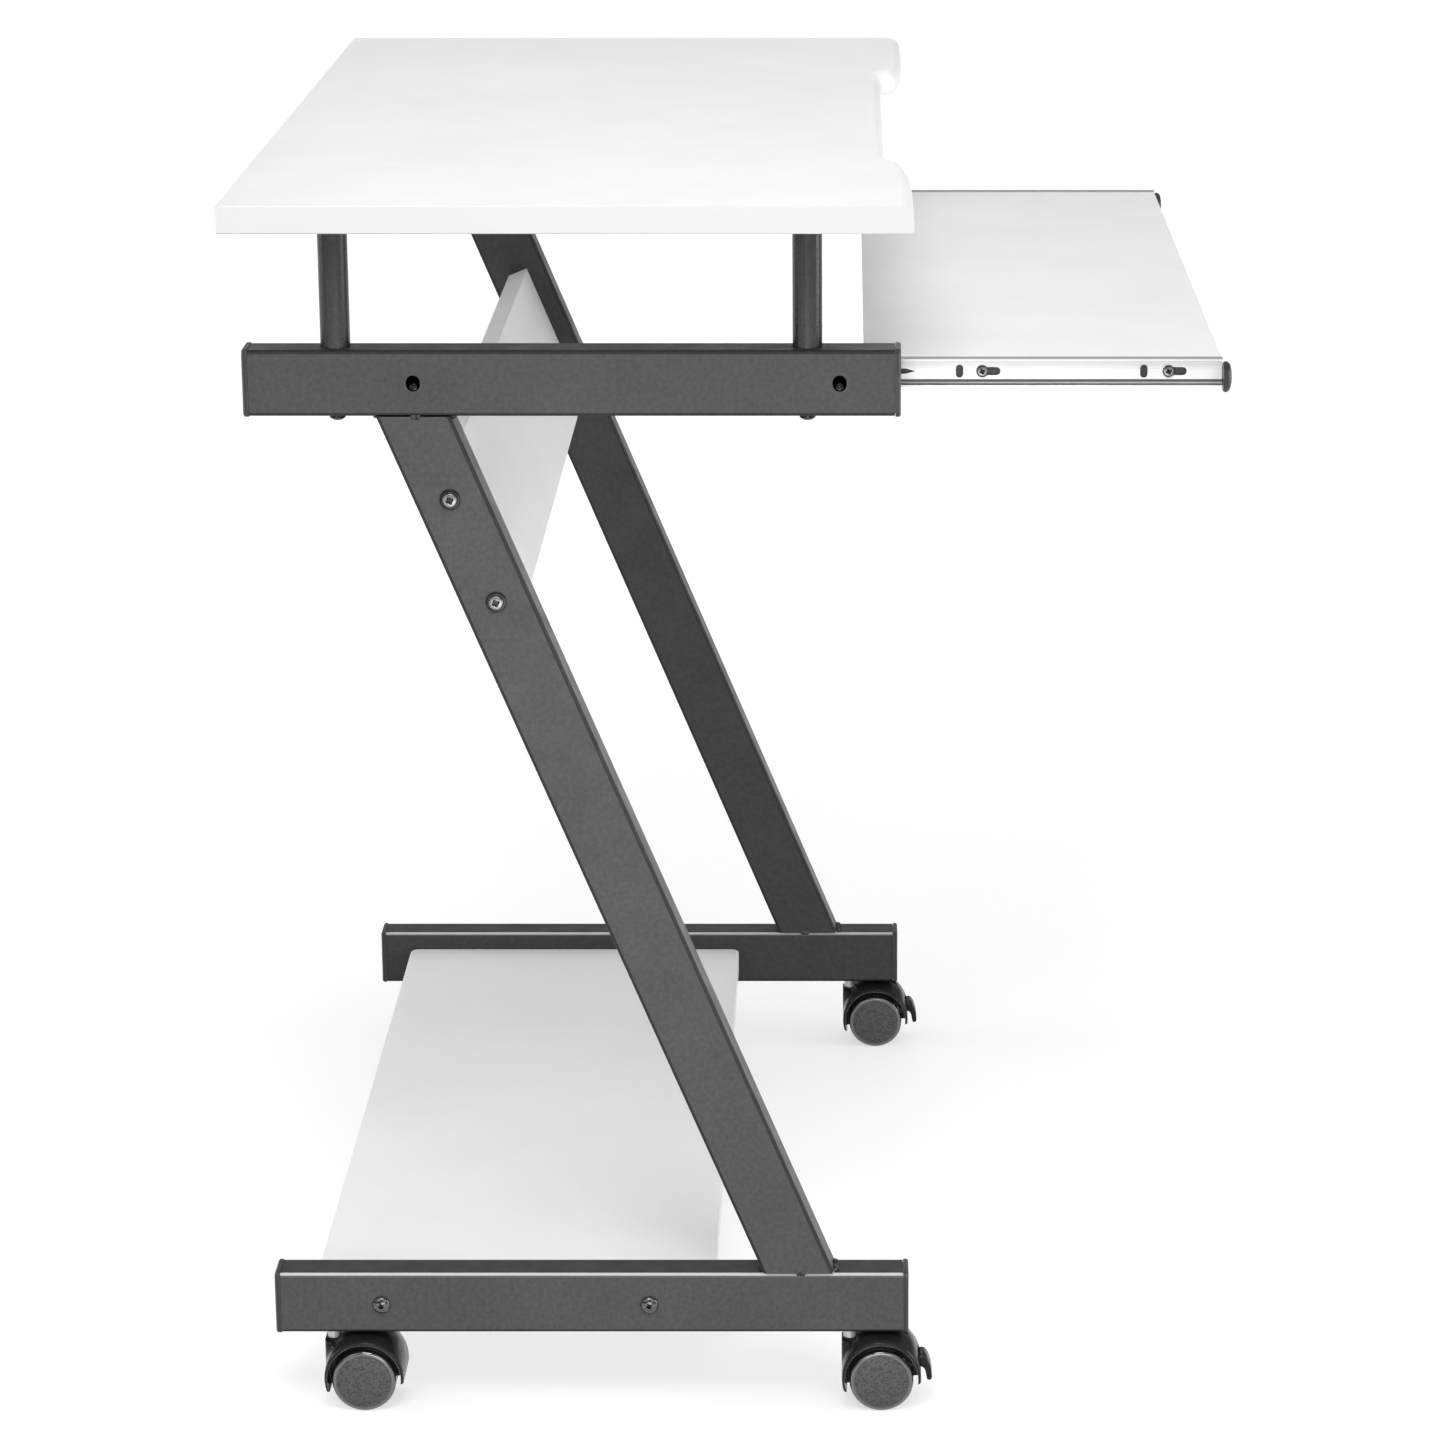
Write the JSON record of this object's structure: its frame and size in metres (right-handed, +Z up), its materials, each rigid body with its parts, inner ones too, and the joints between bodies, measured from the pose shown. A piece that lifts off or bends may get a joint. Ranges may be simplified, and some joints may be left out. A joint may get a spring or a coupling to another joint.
{
  "type": "mobile computer desk",
  "caption": "Compact rolling computer desk with a sloping leg on each side, a raised white top, a pull-out keyboard tray and a low shelf.",
  "frame": {"origin": "middle of the bounding box, on the floor", "axes": "+Z up, -Y towards the person using the desk, +X to that person's right"},
  "size_m": [0.76, 0.5985, 0.775],
  "materials": {
    "white_board": "satin white foil over fibreboard",
    "graphite_paint": "fine-textured graphite powder coat",
    "black_plastic": "moulded, fine grain",
    "wheel_plastic": "moulded, coarse grain",
    "zinc_steel": "bright zinc plate",
    "dark_screw": "dark plated"
  },
  "bodies": {
    "frame": {"desktop": "white_board", "post_left_rear": "graphite_paint", "post_bolt_left_rear": "dark_screw", "shelf_screw_left_rear": "dark_screw", "end_cap_upper_left_rear": "black_plastic", "end_cap_lower_left_rear": "black_plastic", "post_left_front": "graphite_paint", "post_bolt_left_front": "dark_screw", "shelf_screw_left_front": "dark_screw", "end_cap_upper_left_front": "black_plastic", "end_cap_lower_left_front": "black_plastic", "upper_rail_left": "graphite_paint", "panel_screw_left_upper": "dark_screw", "lower_rail_left": "graphite_paint", "panel_screw_left_lower": "dark_screw", "leg_left": "graphite_paint", "tray_slide_fixed_left": "zinc_steel", "post_right_rear": "graphite_paint", "post_bolt_right_rear": "dark_screw", "shelf_screw_right_rear": "dark_screw", "end_cap_upper_right_rear": "black_plastic", "end_cap_lower_right_rear": "black_plastic", "post_right_front": "graphite_paint", "post_bolt_right_front": "dark_screw", "shelf_screw_right_front": "dark_screw", "end_cap_upper_right_front": "black_plastic", "end_cap_lower_right_front": "black_plastic", "upper_rail_right": "graphite_paint", "panel_screw_right_upper": "dark_screw", "lower_rail_right": "graphite_paint", "panel_screw_right_lower": "dark_screw", "leg_right": "graphite_paint", "tray_slide_fixed_right": "zinc_steel", "back_panel": "white_board", "bottom_shelf": "white_board", "caster_stem_left_rear": "zinc_steel", "caster_stem_left_front": "zinc_steel", "caster_stem_right_rear": "zinc_steel", "caster_stem_right_front": "zinc_steel"},
    "tray": {"keyboard_tray": "white_board", "tray_slide_moving_left": "zinc_steel", "tray_bumper_left": "black_plastic", "tray_slide_moving_right": "zinc_steel", "tray_bumper_right": "black_plastic"},
    "caster_left_rear": {"caster_hood_left_rear": "black_plastic"},
    "wheel_left_rear_outer": {"caster_wheel_left_rear_outer": "wheel_plastic"},
    "wheel_left_rear_inner": {"caster_wheel_left_rear_inner": "wheel_plastic"},
    "caster_left_front": {"caster_hood_left_front": "black_plastic"},
    "wheel_left_front_outer": {"caster_wheel_left_front_outer": "wheel_plastic"},
    "wheel_left_front_inner": {"caster_wheel_left_front_inner": "wheel_plastic"},
    "brake_left": {"brake_lever_left": "black_plastic"},
    "caster_right_rear": {"caster_hood_right_rear": "black_plastic"},
    "wheel_right_rear_outer": {"caster_wheel_right_rear_outer": "wheel_plastic"},
    "wheel_right_rear_inner": {"caster_wheel_right_rear_inner": "wheel_plastic"},
    "caster_right_front": {"caster_hood_right_front": "black_plastic"},
    "wheel_right_front_outer": {"caster_wheel_right_front_outer": "wheel_plastic"},
    "wheel_right_front_inner": {"caster_wheel_right_front_inner": "wheel_plastic"},
    "brake_right": {"brake_lever_right": "black_plastic"}
  },
  "joints": [
    {"name": "tray_slide", "type": "slide", "parent": "frame", "child": "tray", "axis": [0, 1, 0], "range_m": [0, 0.193]},
    {"name": "swivel_left_rear", "type": "hinge", "parent": "frame", "child": "caster_left_rear", "pos_m": [-0.3327, 0.2588, 0.0435], "axis": [0, 0, 1], "continuous": true},
    {"name": "roll_left_rear_outer", "type": "hinge", "parent": "caster_left_rear", "child": "wheel_left_rear_outer", "pos_m": [-0.3327, 0.2385, 0.02025], "axis": [1, 0, 0], "continuous": true},
    {"name": "roll_left_rear_inner", "type": "hinge", "parent": "caster_left_rear", "child": "wheel_left_rear_inner", "pos_m": [-0.3327, 0.2385, 0.02025], "axis": [1, 0, 0], "continuous": true},
    {"name": "swivel_left_front", "type": "hinge", "parent": "frame", "child": "caster_left_front", "pos_m": [-0.3327, -0.0692, 0.0435], "axis": [0, 0, 1], "continuous": true},
    {"name": "roll_left_front_outer", "type": "hinge", "parent": "caster_left_front", "child": "wheel_left_front_outer", "pos_m": [-0.3327, -0.0895, 0.02025], "axis": [1, 0, 0], "continuous": true},
    {"name": "roll_left_front_inner", "type": "hinge", "parent": "caster_left_front", "child": "wheel_left_front_inner", "pos_m": [-0.3327, -0.0895, 0.02025], "axis": [1, 0, 0], "continuous": true},
    {"name": "brake_left", "type": "hinge", "parent": "caster_left_front", "child": "brake_left", "pos_m": [-0.3327, -0.1109, 0.0289], "axis": [1, 0, 0], "range_deg": [-18, 0]},
    {"name": "swivel_right_rear", "type": "hinge", "parent": "frame", "child": "caster_right_rear", "pos_m": [0.3327, 0.2588, 0.0435], "axis": [0, 0, 1], "continuous": true},
    {"name": "roll_right_rear_outer", "type": "hinge", "parent": "caster_right_rear", "child": "wheel_right_rear_outer", "pos_m": [0.3327, 0.2385, 0.02025], "axis": [1, 0, 0], "continuous": true},
    {"name": "roll_right_rear_inner", "type": "hinge", "parent": "caster_right_rear", "child": "wheel_right_rear_inner", "pos_m": [0.3327, 0.2385, 0.02025], "axis": [1, 0, 0], "continuous": true},
    {"name": "swivel_right_front", "type": "hinge", "parent": "frame", "child": "caster_right_front", "pos_m": [0.3327, -0.0692, 0.0435], "axis": [0, 0, 1], "continuous": true},
    {"name": "roll_right_front_outer", "type": "hinge", "parent": "caster_right_front", "child": "wheel_right_front_outer", "pos_m": [0.3327, -0.0895, 0.02025], "axis": [1, 0, 0], "continuous": true},
    {"name": "roll_right_front_inner", "type": "hinge", "parent": "caster_right_front", "child": "wheel_right_front_inner", "pos_m": [0.3327, -0.0895, 0.02025], "axis": [1, 0, 0], "continuous": true},
    {"name": "brake_right", "type": "hinge", "parent": "caster_right_front", "child": "brake_right", "pos_m": [0.3327, -0.1109, 0.0289], "axis": [1, 0, 0], "range_deg": [-18, 0]}
  ]
}
